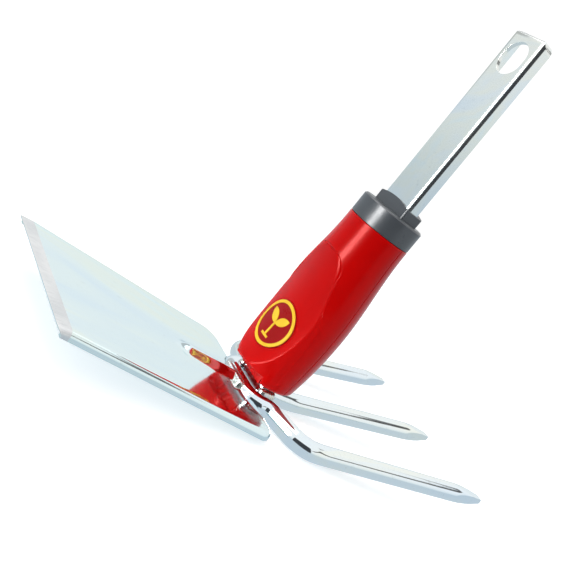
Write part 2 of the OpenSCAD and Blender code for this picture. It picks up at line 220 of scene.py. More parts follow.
class Shader:
    """Short way to write a node material."""

    def __init__(self, name):
        self.material = bpy.data.materials.new(name)
        self.material.use_nodes = True
        self.tree = self.material.node_tree
        self.bsdf = self.tree.nodes["Principled BSDF"]
        self.coords = self.tree.nodes.new("ShaderNodeTexCoord").outputs["Object"]

    def node(self, kind, inputs=(), **settings):
        made = self.tree.nodes.new(kind)
        for key, value in settings.items():
            setattr(made, key, value)
        for key, value in dict(inputs).items():
            if isinstance(value, bpy.types.NodeSocket):
                self.tree.links.new(value, made.inputs[key])
            else:
                made.inputs[key].default_value = value
        return made

    def stretched(self, scale):
        return self.node("ShaderNodeMapping", {"Vector": self.coords, "Scale": scale}).outputs["Vector"]

    def noise(self, scale, detail=3.0, roughness=0.5, distortion=0.0, stretch=(1, 1, 1)):
        made = self.node("ShaderNodeTexNoise", {
            "Vector": self.stretched(stretch), "Scale": scale, "Detail": detail,
            "Roughness": roughness, "Distortion": distortion})
        return made.outputs["Fac"]

    def ramp(self, fac, stops):
        made = self.node("ShaderNodeValToRGB", {"Fac": fac})
        elements = made.color_ramp.elements
        while len(elements) < len(stops):
            elements.new(0.5)
        for element, (position, colour) in zip(elements, stops):
            element.position = position
            element.color = (*colour, 1.0)
        return made.outputs["Color"]

    def spread(self, fac, from_low, from_high, low, high):
        made = self.node("ShaderNodeMapRange", {
            "Value": fac, "From Min": from_low, "From Max": from_high, "To Min": low, "To Max": high})
        return made.outputs["Result"]

    def blend(self, kind, fac, a, b):
        made = self.node("ShaderNodeMix", data_type="RGBA", blend_type=kind)
        for index, value in ((0, fac), (6, a), (7, b)):
            if isinstance(value, bpy.types.NodeSocket):
                self.tree.links.new(value, made.inputs[index])
            elif index == 0:
                made.inputs[index].default_value = value
            else:
                made.inputs[index].default_value = (*value, 1.0)
        return made.outputs[2]

    def math(self, operation, a, b=0.0):
        made = self.tree.nodes.new("ShaderNodeMath")
        made.operation = operation
        for index, value in enumerate((a, b)):
            if isinstance(value, bpy.types.NodeSocket):
                self.tree.links.new(value, made.inputs[index])
            else:
                made.inputs[index].default_value = value
        return made.outputs["Value"]

    def bumps(self, *layers):
        """Each layer is a height socket, a strength and a distance in millimetres."""
        normal = None
        for height, strength, distance in layers:
            made = self.node("ShaderNodeBump", {
                "Height": height, "Strength": strength, "Distance": distance * MM})
            if normal is not None:
                self.tree.links.new(normal, made.inputs["Normal"])
            normal = made.outputs["Normal"]
        self.tree.links.new(normal, self.bsdf.inputs["Normal"])

    def set(self, **values):
        for key, value in values.items():
            socket = self.bsdf.inputs[key.replace("_", " ")]
            if isinstance(value, bpy.types.NodeSocket):
                self.tree.links.new(value, socket)
            else:
                socket.default_value = value


def zinc_steel(name, grain, tint, low, high, wave=0.12, wave_scale=30.0):
    """Bright zinc plate: tinted mirror metal with faint coloured bloom, rolling grain and small scuffs.
    grain: stretch of the grain, its long direction small. tint: metal colour. low, high: roughness."""
    s = Shader(name)
    bloom = s.noise(26.0, 4.0, 0.55, 1.2, (grain[0] * 0.8 + 0.2, grain[1] * 0.8 + 0.2, 1.0))
    colour = s.ramp(bloom, [
        (0.30, (tint[0] * 0.93, tint[1] * 0.96, tint[2] * 1.02)),
        (0.44, tint),
        (0.52, (tint[0] * 1.05, tint[1] * 1.01, tint[2] * 0.93)),
        (0.60, (tint[0] * 0.97, tint[1] * 1.01, tint[2] * 1.02)),
        (0.72, (tint[0] * 1.02, tint[1] * 0.96, tint[2] * 1.03))])
    spots = s.noise(420.0, 3.0, 0.6)
    colour = s.blend("MULTIPLY", s.spread(spots, 0.62, 0.78, 0.0, 0.35), colour, (0.72, 0.74, 0.76))
    streaks = s.noise(900.0, 2.0, 0.5, 0.0, grain)
    scuffs = s.noise(130.0, 5.0, 0.65, 0.4)
    rough = s.math("ADD", s.spread(streaks, 0.3, 0.7, low, high), s.spread(scuffs, 0.58, 0.8, 0.0, 0.12))
    wave_height = s.noise(wave_scale, 1.0, 0.4)
    s.bumps((wave_height, wave, 1.2), (streaks, 0.05, 0.05), (scuffs, 0.03, 0.1))
    s.set(Base_Color=colour, Metallic=1.0, Roughness=rough)
    return s.material


def weld_metal(name):
    """Plated weld bead: painted highlight on the brighter crests and painted shade in the darker toes, both
    following the noise that also bumps the surface, and a faint straw and blue temper tint.
    """
    s = Shader(name)
    # one noise for the bumps, the straw and blue temper tint and the painted shade and highlight of the
    # weld
    relief_tint_and_shade = s.noise(160.0, 3.0, 0.6, 0.8)
    # dark grey low end: painted shade in the hollows; light grey and straw: painted highlight toward the
    # crests; straw and blue: temper tint
    colour = s.ramp(relief_tint_and_shade, [
        (0.28, (0.36, 0.42, 0.48)), (0.45, (0.62, 0.66, 0.68)),
        (0.58, (0.70, 0.66, 0.56)), (0.72, (0.50, 0.54, 0.62))])
    pits = s.noise(1400.0, 4.0, 0.6)
    s.bumps((relief_tint_and_shade, 0.35, 0.5), (pits, 0.25, 0.08))
    s.set(Base_Color=colour, Metallic=1.0, Roughness=s.spread(pits, 0.3, 0.7, 0.14, 0.36))
    return s.material


def ground_steel(name):
    """Ground bevel: fine scratches across the cutting edge, duller than the plated sheet."""
    s = Shader(name)
    scratches = s.noise(2600.0, 3.0, 0.6, 0.0, (0.06, 1.0, 0.06))
    wide = s.noise(60.0, 3.0, 0.5)
    colour = s.ramp(wide, [
        (0.3, (0.70, 0.72, 0.73)), (0.55, (0.82, 0.83, 0.83)), (0.75, (0.74, 0.75, 0.76))])
    colour = s.blend("MULTIPLY", s.spread(scratches, 0.45, 0.75, 0.0, 0.4), colour, (0.6, 0.6, 0.62))
    s.bumps((scratches, 0.3, 0.03))
    s.set(Base_Color=colour, Metallic=1.0, Roughness=s.spread(scratches, 0.3, 0.7, 0.26, 0.42))
    return s.material


def moulded_plastic(name, bright, deep, low, high, grain_scale=2600.0, grain=0.12, specular=0.5,
                    shine=(1.0, 1.0, 1.0)):
    """Injection-moulded plastic: flow marks in the colour, fine spark-eroded grain and rubbed patches.
    bright, deep: colours. low, high: roughness. shine: tint of the highlights."""
    s = Shader(name)
    flow = s.noise(38.0, 4.0, 0.55, 0.6, (1, 1, 0.35))
    colour = s.ramp(flow, [(0.32, deep), (0.55, bright), (0.75, tuple(0.94 * c for c in bright))])
    speck = s.noise(1500.0, 2.0, 0.5)
    colour = s.blend("MULTIPLY", s.spread(speck, 0.66, 0.8, 0.0, 0.3), colour, (0.6, 0.6, 0.6))
    fine = s.noise(grain_scale, 3.0, 0.6)
    rubbed = s.noise(55.0, 5.0, 0.6, 0.5)
    rough = s.math("ADD", s.spread(rubbed, 0.35, 0.7, low, high), s.spread(fine, 0.3, 0.7, -0.02, 0.03))
    sink = s.noise(42.0, 1.0, 0.4)
    s.bumps((sink, 0.05, 0.8), (fine, grain, 0.03))
    s.set(Base_Color=colour, Roughness=rough, Specular_IOR_Level=specular, Specular_Tint=(*shine, 1.0))
    return s.material


BLADE_STEEL = zinc_steel("blade_zinc", (0.04, 1.0, 1.0), (0.74, 0.86, 0.87), 0.06, 0.13, 0.10, 24.0)
TANG_STEEL = zinc_steel("tang_zinc", (1.0, 1.0, 0.05), (0.76, 0.81, 0.83), 0.10, 0.18, 0.05, 30.0)
ROD_STEEL = zinc_steel("rod_zinc", (0.06, 1.0, 1.0), (0.80, 0.87, 0.89), 0.04, 0.10, 0.05, 60.0)
WELD = weld_metal("weld_zinc")
EDGE_STEEL = ground_steel("ground_edge")
GRIP_RED = moulded_plastic("red_grip", (0.64, 0.0004, 0.0004), (0.56, 0.0003, 0.0003), 0.17, 0.25,
                            specular=0.32, shine=(1.0, 0.30, 0.28))
GREY_CAP = moulded_plastic("grey_cap", (0.060, 0.067, 0.076), (0.048, 0.054, 0.063), 0.28, 0.38,
                           grain_scale=2200.0, grain=0.2, specular=0.75)
BADGE_RED = moulded_plastic("badge_red", (0.36, 0.002, 0.003), (0.31, 0.0015, 0.002), 0.26, 0.34,
                            specular=0.3, shine=(1.0, 0.5, 0.5))
BADGE_YELLOW = moulded_plastic("badge_yellow", (1.0, 0.62, 0.03), (0.94, 0.55, 0.02), 0.30, 0.40,
                               specular=0.3)


# ---------------------------------------------------------------- CAD nodes with softened edges

def refined_copy(node, name, material, bevel, segments):
    """A copy of a CAD node's mesh with its flats merged and its hard edges rounded."""
    bm = bmesh.new()
    bm.from_mesh(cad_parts[node].data)
    bmesh.ops.remove_doubles(bm, verts=bm.verts, dist=2e-7)
    bmesh.ops.dissolve_limit(bm, angle_limit=math.radians(0.6), verts=bm.verts, edges=bm.edges)
    mesh = bpy.data.meshes.new(name)
    bm.to_mesh(mesh)
    bm.free()
    mesh.materials.append(material)
    mesh.shade_smooth()
    mesh.set_sharp_from_angle(angle=math.radians(32))
    piece = bpy.data.objects.new(name, mesh)
    bpy.context.scene.collection.objects.link(piece)
    add_bevel(piece, bevel, segments, 60)
    weighted = piece.modifiers.new("flat_normals", "WEIGHTED_NORMAL")
    weighted.keep_sharp = True
    weighted.weight = 80
    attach(piece, "root")
    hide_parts(node)


refined_copy("tang", "tang_channel", TANG_STEEL, 0.22, 2)
refined_copy("end_cap", "end_cap_moulding", GREY_CAP, 0.45, 3)
refined_copy("badge_disc", "badge_button", BADGE_RED, 0.12, 2)
refined_copy("badge_emblem", "badge_print", BADGE_YELLOW, 0.06, 1)


# ---------------------------------------------------------------- rods

def bend_end(p, heading, radius, turn):
    h0, h1, side = math.radians(heading), math.radians(heading + turn), math.copysign(1, turn)
    return (p[0] + side * radius * (math.sin(h1) - math.sin(h0)),
            p[1] + side * radius * (math.cos(h0) - math.cos(h1)))


def bend_points(p, heading, radius, turn, steps):
    return [bend_end(p, heading, radius, turn * i / steps) for i in range(1, steps + 1)]


def ahead(p, heading, length):
    a = math.radians(heading)
    return (p[0] + length * math.cos(a), p[1] + length * math.sin(a))


def tine_run(p, heading):
    """Stations of a rising tine from p: centre, half width and half height of the forged section."""
    ground_l = (TINE_REACH + p[0]) / -math.cos(math.radians(heading))
    rise = math.radians(TINE_RISE)
    arc_l = LIFT_R * math.sin(rise)
    arc_z = LIFT_R * (1 - math.cos(rise))
    point_start = ground_l - POINT_L * math.cos(rise)
    lift_steps, shank_steps, point_steps = 6, 10, 26
    run = []
    for i in range(1, lift_steps + 1):
        a = rise * i / lift_steps
        q = ahead(p, heading, LIFT_R * math.sin(a))
        run.append(((q[0], q[1], BOW_Z + LIFT_R * (1 - math.cos(a))), ROD_R, ROD_R))
    for i in range(1, shank_steps):
        ground = mix(arc_l, point_start, i / shank_steps)
        q = ahead(p, heading, ground)
        run.append(((q[0], q[1], BOW_Z + arc_z + (ground - arc_l) * math.tan(rise)), ROD_R, ROD_R))
    for i in range(point_steps + 1):
        t = i / point_steps
        ground = mix(point_start, ground_l, t)
        q = ahead(p, heading, ground)
        blunt = 1 - 0.45 * smoothstep(0.955, 1.0, t)
        run.append(((q[0], q[1], BOW_Z + arc_z + (ground - arc_l) * math.tan(rise)),
                    mix(ROD_R, POINT_HALF_W, t) * blunt, mix(ROD_R, POINT_HALF_H, t) * blunt))
    return run


def half_bow():
    corner = (BOW_X, CROSS_L)
    side_start = bend_end(corner, 90, HUG_R, HUG_TURN)
    side_end = ahead(side_start, 90 + HUG_TURN, HUG_L)
    flare_start = bend_end(side_end, 90 + HUG_TURN, FLARE_R, FLARE_HEADING - HUG_TURN)
    flare_end = ahead(flare_start, 90 + FLARE_HEADING, FLARE_L)
    elbow_turn = 90 - TINE_SPLAY - FLARE_HEADING
    elbow_end = bend_end(flare_end, 90 + FLARE_HEADING, ELBOW_R, elbow_turn)
    plan = [corner] + bend_points(corner, 90, HUG_R, HUG_TURN, 22) + [side_end]
    plan += bend_points(side_end, 90 + HUG_TURN, FLARE_R, FLARE_HEADING - HUG_TURN, 18) + [flare_end]
    plan += bend_points(flare_end, 90 + FLARE_HEADING, ELBOW_R, elbow_turn, 22)
    return [((x, y, BOW_Z), ROD_R, ROD_R) for x, y in plan] + tine_run(elbow_end, 180 - TINE_SPLAY)


def rod(name, node, run, sides=48):
    """Sweeps the rod section along a run. The forging flattens the circle softly to its half sizes."""
    centres = [Vector(s[0]) for s in run]
    verts = []
    for i, (centre, half_w, half_h) in enumerate(run):
        forward = (centres[min(i + 1, len(run) - 1)] - centres[max(i - 1, 0)]).normalized()
        across = forward.cross(Vector((0, 0, 1))).normalized()
        up = across.cross(forward)
        crease = 0.9 * smoothstep(ROD_R, ROD_R - 0.8, half_h) + 0.001
        for j in range(sides):
            a = 2 * math.pi * (j + 0.5) / sides
            w, h = ROD_R * math.cos(a), ROD_R * math.sin(a)
            w = math.copysign(soft_min(abs(w), half_w, crease), w)
            h = math.copysign(soft_min(abs(h), half_h, crease), h)
            verts.append(centres[i] + across * w + up * h)
    faces = grid_faces(len(run), sides, 0, True)
    faces.append(tuple(reversed(range(sides))))
    faces.append(tuple((len(run) - 1) * sides + j for j in range(sides)))
    piece = new_piece(name, verts, faces, [ROD_STEEL])
    piece.data.set_sharp_from_angle(angle=math.radians(50))
    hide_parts(node)


near_half = half_bow()
far_half = [((x, -y, z), w, h) for (x, y, z), w, h in reversed(near_half)]
rod("outer_tines_rod", "outer_tine_bow", far_half + near_half)
root = [((mix(CENTRE_START_X, CENTRE_LIFT_X, i / 8), 0.0, BOW_Z), ROD_R, ROD_R) for i in range(9)]
rod("centre_tine_rod", "centre_tine", root + tine_run((CENTRE_LIFT_X, 0.0), 180.0))


# ---------------------------------------------------------------- welds

def weld_beads(name, node, beads):
    """Each bead: start, end and radius. Overlapping ripples with round ends, like a run of puddles."""
    verts, faces = [], []
    around, along = 28, 46
    for start, end, radius in beads:
        start, end = Vector(start), Vector(end)
        axis = (end - start).normalized()
        side = axis.cross(Vector((0, 0, 1))).normalized()
        up = side.cross(axis)
        length = (end - start).length + 2 * radius
        first = len(verts)
        for i in range(along + 1):
            t = i / along
            s = -radius + length * (0.5 - 0.5 * math.cos(math.pi * t))
            over = max(-s, s - (length - 2 * radius), 0.0) / radius
            profile = math.sqrt(max(1 - over * over, 0.0004))
            ripple = 1 - RIPPLE + RIPPLE * abs(math.sin(math.pi * s / RIPPLE_L))
            for j in range(around):
                a = 2 * math.pi * j / around
                place = start + axis * s
                lump = 1 - RIPPLE * (1 + noise.noise(Vector((place.x * 0.45, place.y * 0.45, a * 1.1)))) / 2
                r = radius * profile * ripple * lump
                verts.append(place + side * (r * math.cos(a)) + up * (r * math.sin(a)))
        faces += grid_faces(along + 1, around, first, True)
        faces.append(tuple(first + j for j in reversed(range(around))))
        faces.append(tuple(first + along * around + j for j in range(around)))
    piece = new_piece(name, verts, faces, [WELD])
    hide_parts(node)


blade_weld_x = BOW_X + ROD_R - 0.3
blade_weld_half = 6.5
blade_weld_r = 2.4
bow_weld_y = 11.0
bow_weld_z = BOW_Z + 4.2
tine_weld_y = ROD_R + 1.2
tine_weld_z = BOW_Z + 3.0
weld_beads("blade_weld_beads", "blade_weld", [
    ((blade_weld_x, -blade_weld_half, z), (blade_weld_x, blade_weld_half, z), blade_weld_r)
    for z in (BOW_Z + 2.2, BOW_Z - 1.9)])
weld_beads("bow_weld_beads", "bow_weld", [
    ((-2.2, y, bow_weld_z), (2.4, y, bow_weld_z), 2.7) for y in (bow_weld_y, -bow_weld_y)])
weld_beads("tine_weld_beads", "tine_weld", [
    ((-2.4, y, tine_weld_z), (1.0, y, tine_weld_z), 2.6) for y in (tine_weld_y, -tine_weld_y)])


# ---------------------------------------------------------------- blade

def blade_columns():
    """Positions across half of the sheet, from its side to its centre, closest at the fold and the bead."""
    columns = [BLADE_HALF_W - FOLD_R * (1 - math.cos(math.radians(9.0 * i))) for i in range(11)]
    v = columns[-1]
    while v > 0.3:
        step = 0.5 if v < 9.0 else 0.4 if 15.5 < v < 20.5 else 0.7 if v > 30 else 1.6
        v = max(v - step, 0.0)
        columns.append(v)
    return columns


def blade_root(v):
    """Where the sheet starts at v: the back edge, its round corner, and the notch round the bow."""
    v = abs(v)
    beyond = max(v - (BLADE_HALF_W - BLADE_CORNER_R), 0.0)
    back = -BLADE_BACK + BLADE_CORNER_R - math.sqrt(max(BLADE_CORNER_R ** 2 - beyond ** 2, 0.0))
    notch_r = HUG_R + ROD_R + 0.1
    past = max(v - CROSS_L, 0.0)
    if past >= notch_r:
        return back
    notch_x = BOW_X - HUG_R + math.sqrt(notch_r ** 2 - past ** 2)
    return soft_max(back, (notch_x - BLADE_ROOT_X) / math.cos(math.radians(BLADE_RISE)), 1.0)


def blade_front(v):
    beyond = max(abs(v) - (BLADE_HALF_W - FRONT_CORNER_R), 0.0)
    return BLADE_REACH - FRONT_CORNER_R + math.sqrt(max(FRONT_CORNER_R ** 2 - beyond ** 2, 0.0))


def outline_inset(u, v):
    """Distance inside the folded part of the outline, and the direction out of the sheet there."""
    side = math.copysign(1.0, v)
    du = u - (BLADE_CORNER_R - BLADE_BACK)
    dv = abs(v) - (BLADE_HALF_W - BLADE_CORNER_R)
    if du < 0 and dv > 0:
        reach = math.hypot(du, dv)
        return BLADE_CORNER_R - reach, (du / reach, side * dv / reach)
    if BLADE_HALF_W - abs(v) < u + BLADE_BACK:
        return BLADE_HALF_W - abs(v), (0.0, side)
    return u + BLADE_BACK, (-1.0, 0.0)


def bead_height(u, v):
    reach = math.hypot(max(u - (BEAD_L - BEAD_HALF_W - 1), 0.0), v) / (BEAD_HALF_W + 1)
    return BEAD_H * math.cos(math.pi / 2 * min(reach, 1.0)) ** 2


def blade_place(u, v, w):
    a = math.radians(BLADE_RISE)
    return (BLADE_ROOT_X + u * math.cos(a) - w * math.sin(a), v,
            BLADE_ROOT_Z + u * math.sin(a) + w * math.cos(a))


def build_blade():
    half = blade_columns()
    columns = half + [-v for v in reversed(half[:-1])]
    columns = [columns[0]] + columns + [columns[-1]]
    bevel_start = BLADE_REACH - BEVEL_L
    near_root = [FOLD_R * (1 - math.cos(math.radians(10.0 * i))) for i in range(10)]
    rest = [near_root[-1] + 0.62 * i for i in range(1, 64)]
    while rest[-1] < bevel_start + BLADE_BACK - 3.0:
        rest.append(rest[-1] + 2.0)
    body = [near_root[0]] + near_root + rest + [bevel_start + BLADE_BACK - 0.4]
    strip = [0.0, 0.05] + [i / 7 for i in range(1, 8)]
    outer, inner = [], []
    for row in range(len(body) + len(strip)):
        outer_row, inner_row = [], []
        for col, v in enumerate(columns):
            begin = blade_root(v)
            ground = 0.0
            if row < len(body):
                u = body[row] - BLADE_BACK
                if u < BLADE_SETTLE:
                    u = begin + body[row]
                    if row > len(near_root):
                        t = (body[row] - near_root[-1]) / (BLADE_SETTLE + BLADE_BACK - near_root[-1])
                        u = mix(begin + near_root[-1], BLADE_SETTLE, t)
            else:
                ground = strip[row - len(body)]
                u = mix(bevel_start, blade_front(v), ground)
            inset, (out_u, out_v) = outline_inset(u, v)
            wall = clamp01(1 - inset / FOLD_R)
            flat = math.sqrt(1 - wall * wall)
            w = -FOLD_R * (1 - flat)
            if col in (0, len(columns) - 1):
                w -= FLANGE_D - FOLD_R
            elif row == 0:
                w -= 0.02 + (FLANGE_D - FOLD_R) * wall ** 2
            lift = bead_height(u, v)
            sag = BLADE_SAG * math.sin(math.pi * clamp01(u / BLADE_REACH))
            sag *= math.cos(math.pi * v / (2 * BLADE_HALF_W))
            outer_row.append(blade_place(u, v, w + lift - sag * flat - EDGE_DROP * ground * flat))
            thick = BLADE_T - (BLADE_T - EDGE_DROP - EDGE_T) * ground * flat
            inner_row.append(blade_place(u - out_u * BLADE_T * wall, v - out_v * BLADE_T * wall,
                                         w - thick * flat - sag * flat + BEAD_GROOVE * lift))
        outer.append(outer_row)
        inner.append(inner_row)
    verts, faces = two_skins(outer, inner)
    strips = len(columns) - 1
    per_skin = (len(outer) - 1) * strips
    slots = [0] * len(faces)
    for i in range(len(body), len(outer) - 1):
        for j in range(strips):
            slots[i * strips + j] = 1
            slots[per_skin + i * strips + j] = 1
    piece = new_piece("blade_sheet", verts, faces, [BLADE_STEEL, EDGE_STEEL], slots)
    add_bevel(piece, BLADE_EDGE_R, 2, 55)
    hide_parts("blade")


build_blade()


# ---------------------------------------------------------------- grip

def sleeve_radius(depth):
    if depth < SLEEVE_SWELL:
        return SLEEVE_TOP_R + (SLEEVE_R - SLEEVE_TOP_R) * (1 - math.cos(math.pi * depth / SLEEVE_SWELL)) / 2
    return SLEEVE_R - SLEEVE_TAPER * ((depth - SLEEVE_SWELL) / SLEEVE_TAPER_L) ** 2


def recess_half(z):
    """Half width of the thumb recess at height z."""
    corner_y = RECESS_HALF_TOP - RECESS_CORNER_R
    corner_z = RECESS_TOP - RECESS_CORNER_R
    if z > corner_z:
        return corner_y + math.sqrt(max(RECESS_CORNER_R ** 2 - (z - corner_z) ** 2, 0.0))
    return mix(RECESS_HALF_TOP, RECESS_HALF_LOW, clamp01((corner_z - z) / (corner_z - RECESS_Z)))


def recess_floor(y, z):
    """How far forward the crowned floor of the thumb recess lies."""
    reach = RECESS_RING_R + RECESS_CROWN_R - math.sqrt(RECESS_CROWN_R ** 2 - min(abs(y), 30.0) ** 2)
    return RECESS_FLOOR_X + RECESS_RING_R - math.sqrt(reach ** 2 - (z - RECESS_Z) ** 2)


def tang_clearance(angle):
    """Polar radius of the hole that the tang passes through."""
    c, s = math.cos(angle), math.sin(angle)
    across = (TANG_HALF_W + HOLE_GAP) / max(abs(s), 1e-6)
    along = ((TANG_FRONT_X if c > 0 else -TANG_BACK_X) + HOLE_GAP) / max(abs(c), 1e-6)
    return min(across, along)


def bottom_at(x):
    """Height of the sleeve's lower end, which steps up at the notch."""
    return SLEEVE_TOP - SLEEVE_L + NOTCH_H * smoothstep(NOTCH_X - 0.15, NOTCH_X + 0.15, x)


def across_seam(r, x):
    """A point near the seam on a circle of radius r, with the lip at the parting plane rounded off."""
    away = min(abs(x - PARTING_X), LIP_R)
    r -= LIP_R - math.sqrt(LIP_R ** 2 - (LIP_R - away) ** 2)
    return (x, math.sqrt(r * r - x * x))


def recess_groove(from_side, z):
    """Depth of the fine line just inside the outline of the thumb recess."""
    inside = soft_min(from_side, RECESS_TOP - z, 0.3)
    return GROOVE_DEPTH * math.exp(-((inside - 0.42) / 0.30) ** 2)


def front_half_row(z, inset):
    """Points from the seam to the middle of the front, on the +Y side, moved in by inset."""
    r = sleeve_radius(SLEEVE_TOP - z) - inset
    start = PARTING_X + SEAM_GAP
    row = [across_seam(r, start + step) for step in SEAM_STEPS]
    deep = smoothstep(RECESS_TOP + 0.45, RECESS_TOP - 0.3, z)
    half = min(recess_half(min(z, RECESS_TOP)), 0.955 * r)
    surface = math.sqrt(r * r - half * half)
    floor = recess_floor(half, z) - inset
    depth = max(surface - floor, 0.0) * deep
    fillet = max(min(FILLET, 0.45 * depth), 0.02)
    seam_angle = math.atan2(row[-1][1], row[-1][0])
    wall_angle = math.asin(min((half + fillet) / r, 0.999))
    for i in range(1, SIDE_COLUMNS + 1):
        angle = mix(seam_angle, wall_angle, i / SIDE_COLUMNS)
        row.append((r * math.cos(angle), r * math.sin(angle)))
    for turn in (30, 60, 90):
        a = math.radians(turn)
        y = half + fillet * (1 - math.sin(a))
        row.append((math.sqrt(r * r - y * y) - fillet * (1 - math.cos(a)), y))
    low = surface - depth
    for turn in (0, 30, 60, 90):
        a = math.radians(turn)
        y = half - fillet * (1 - math.cos(a))
        row.append((low + fillet * (1 - math.sin(a)) - recess_groove(half - y, z), y))
    edge = half - fillet
    for i in range(1, FLOOR_COLUMNS // 2 + 1):
        y = edge * (1 - 2 * i / FLOOR_COLUMNS)
        outside = math.sqrt(r * r - y * y)
        sunk = outside - max(outside - soft_min(outside, recess_floor(y, z) - inset, 0.5), 0.0) * deep
        from_badge = math.hypot(y, z - BADGE_Z)
        sunk -= recess_groove(half - abs(y), z)
        sunk -= BADGE_GROOVE_DEPTH * math.exp(-((from_badge - BADGE_R - 0.05) / 0.28) ** 2)
        row.append((sunk, y))
    return row


def rear_half_row(z, inset):
    """Points from the seam to the middle of the back, on the +Y side, moved in by inset."""
    r = sleeve_radius(SLEEVE_TOP - z) - inset
    start = PARTING_X - SEAM_GAP
    row = [across_seam(r, start - step) for step in SEAM_STEPS]
    seam_angle = math.atan2(row[-1][1], row[-1][0])
    for i in range(1, REAR_COLUMNS // 2 + 1):
        angle = mix(seam_angle, math.pi, i / (REAR_COLUMNS // 2))
        row.append((r * math.cos(angle), r * math.sin(angle)))
    return row


def grip_shell(name, node, half_row):
    """One half of the sleeve as a closed shell. Columns run across from parting edge to parting edge."""

    def full_row(z, inset):
        half = half_row(z, inset)
        return half + [(x, -y) for x, y in reversed(half[:-1])]

    top = SLEEVE_TOP - TOP_GAP
    low = SLEEVE_TOP - SLEEVE_L + SLEEVE_EDGE_R
    levels = [mix(top - TOP_EDGE_R, low, i / 190) for i in range(191)]
    levels += [RECESS_TOP + d for d in (
        0.5, 0.3, 0.15, 0.0, -0.12, -0.25, -0.35, -0.5, -0.65, -0.85, -1.05)]
    levels = sorted(levels, reverse=True)
    outer, inner = [], []

    def add(rim, inside):
        outer.append(rim)
        inner.append(inside)

    for a in (0, 30, 60):
        inset = TOP_EDGE_R * (1 - math.sin(math.radians(a)))
        z = top - TOP_EDGE_R * (1 - math.cos(math.radians(a)))
        add([(x, y, z) for x, y in full_row(z, inset)], [(x, y, z) for x, y in full_row(z, SKIN)])

    def raised(x):
        """How far the bottom edge is lifted at x by the notch, from 0 to 1."""
        return (bottom_at(x) - (SLEEVE_TOP - SLEEVE_L)) / NOTCH_H

    notch_lift = NOTCH_H - SLEEVE_EDGE_R + NOTCH_EDGE_R
    for z in levels:
        near_bottom = smoothstep(low + 12, low, z)
        shifts = [raised(x) * near_bottom * notch_lift for x, _ in full_row(z, 0.0)]
        add([(x, y, z + dz) for (x, y), dz in zip(full_row(z, 0.0), shifts)],
            [(x, y, z + dz) for (x, y), dz in zip(full_row(z, SKIN), shifts)])
    lifts = [raised(x) for x, _ in full_row(low, 0.0)]
    for a in range(15, 91, 15):
        sink, pull = math.sin(math.radians(a)), 1 - math.cos(math.radians(a))
        soft, crisp = full_row(low, SLEEVE_EDGE_R * pull), full_row(low, NOTCH_EDGE_R * pull)
        rim = []
        for (xs, ys), (xc, yc), lift in zip(soft, crisp, lifts):
            radius = mix(SLEEVE_EDGE_R, NOTCH_EDGE_R, lift)
            rim.append((mix(xs, xc, lift), mix(ys, yc, lift), low + lift * notch_lift - radius * sink))
        add(rim, [(x, y, low + lift * notch_lift + 0.8)
                  for (x, y), lift in zip(full_row(low, SKIN + 0.6), lifts)])
    rim = outer[-1]
    steps = 16
    hole_half = TANG_HALF_W + HOLE_GAP
    seam_columns = len(SEAM_STEPS)
    for i in range(1, steps + 1):
        t = i / steps
        end_row, roof_row = [], []
        for n, (x, y, _) in enumerate(rim):
            reach = math.hypot(x, y)
            angle = math.atan2(y, x)
            hole = tang_clearance(angle)
            r, ri = mix(reach, hole, t), mix(reach - SKIN, hole + 0.01, t)
            spots = [(r * math.cos(angle), r * math.sin(angle)),
                     (ri * math.cos(angle), ri * math.sin(angle))]
            if min(n, len(rim) - 1 - n) < seam_columns:
                spots = [(x, math.copysign(mix(abs(y), hole_half, t), y)),
                         (x, math.copysign(mix(abs(y) - SKIN, hole_half + 0.01, t), y))]
            end_row.append((*spots[0], bottom_at(spots[0][0])))
            roof = SLEEVE_TOP - SLEEVE_L + SKIN + NOTCH_H * smoothstep(6.0, 9.0, spots[1][0])
            roof_row.append((*spots[1], roof))
        add(end_row, roof_row)
    verts, faces = two_skins(outer, inner)
    piece = new_piece(name, verts, faces, [GRIP_RED])
    piece.data.set_sharp_from_angle(angle=math.radians(55))
    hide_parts(node)


grip_shell("grip_front", "front_shell", front_half_row)
grip_shell("grip_rear", "rear_shell", rear_half_row)


# ---------------------------------------------------------------- stage, light and camera

def stage_material(name, tone, bounce, glossy_colour, glow=0.0):
    """Stage surface with one tone where it is seen, one for the light it passes on and one in mirror
    reflections. glow is the light that the surface itself adds where it is seen directly."""
    material = bpy.data.materials.new(name)
    material.use_nodes = True
    tree = material.node_tree
    tree.nodes.clear()
    output = tree.nodes.new("ShaderNodeOutputMaterial")
    path = tree.nodes.new("ShaderNodeLightPath")
    mixer = tree.nodes.new("ShaderNodeMixShader")
    adder = tree.nodes.new("ShaderNodeAddShader")
    white = tree.nodes.new("ShaderNodeBsdfDiffuse")
    shade = tree.nodes.new("ShaderNodeMath")
    shade.operation = "MULTIPLY_ADD"
    shade.inputs[1].default_value = tone - bounce
    shade.inputs[2].default_value = bounce
    tree.links.new(path.outputs["Is Camera Ray"], shade.inputs[0])
    tree.links.new(shade.outputs[0], white.inputs["Color"])
    lit = tree.nodes.new("ShaderNodeEmission")
    strength = tree.nodes.new("ShaderNodeMath")
    strength.operation = "MULTIPLY"
    strength.inputs[1].default_value = glow
    tree.links.new(path.outputs["Is Camera Ray"], strength.inputs[0])
    tree.links.new(strength.outputs[0], lit.inputs["Strength"])
    tree.links.new(white.outputs[0], adder.inputs[0])
    tree.links.new(lit.outputs[0], adder.inputs[1])
    shown = tree.nodes.new("ShaderNodeEmission")
    shown.inputs["Color"].default_value = (*glossy_colour, 1)
    tree.links.new(path.outputs["Is Glossy Ray"], mixer.inputs["Fac"])
    tree.links.new(adder.outputs[0], mixer.inputs[1])
    tree.links.new(shown.outputs[0], mixer.inputs[2])
    tree.links.new(mixer.outputs[0], output.inputs["Surface"])
    return material


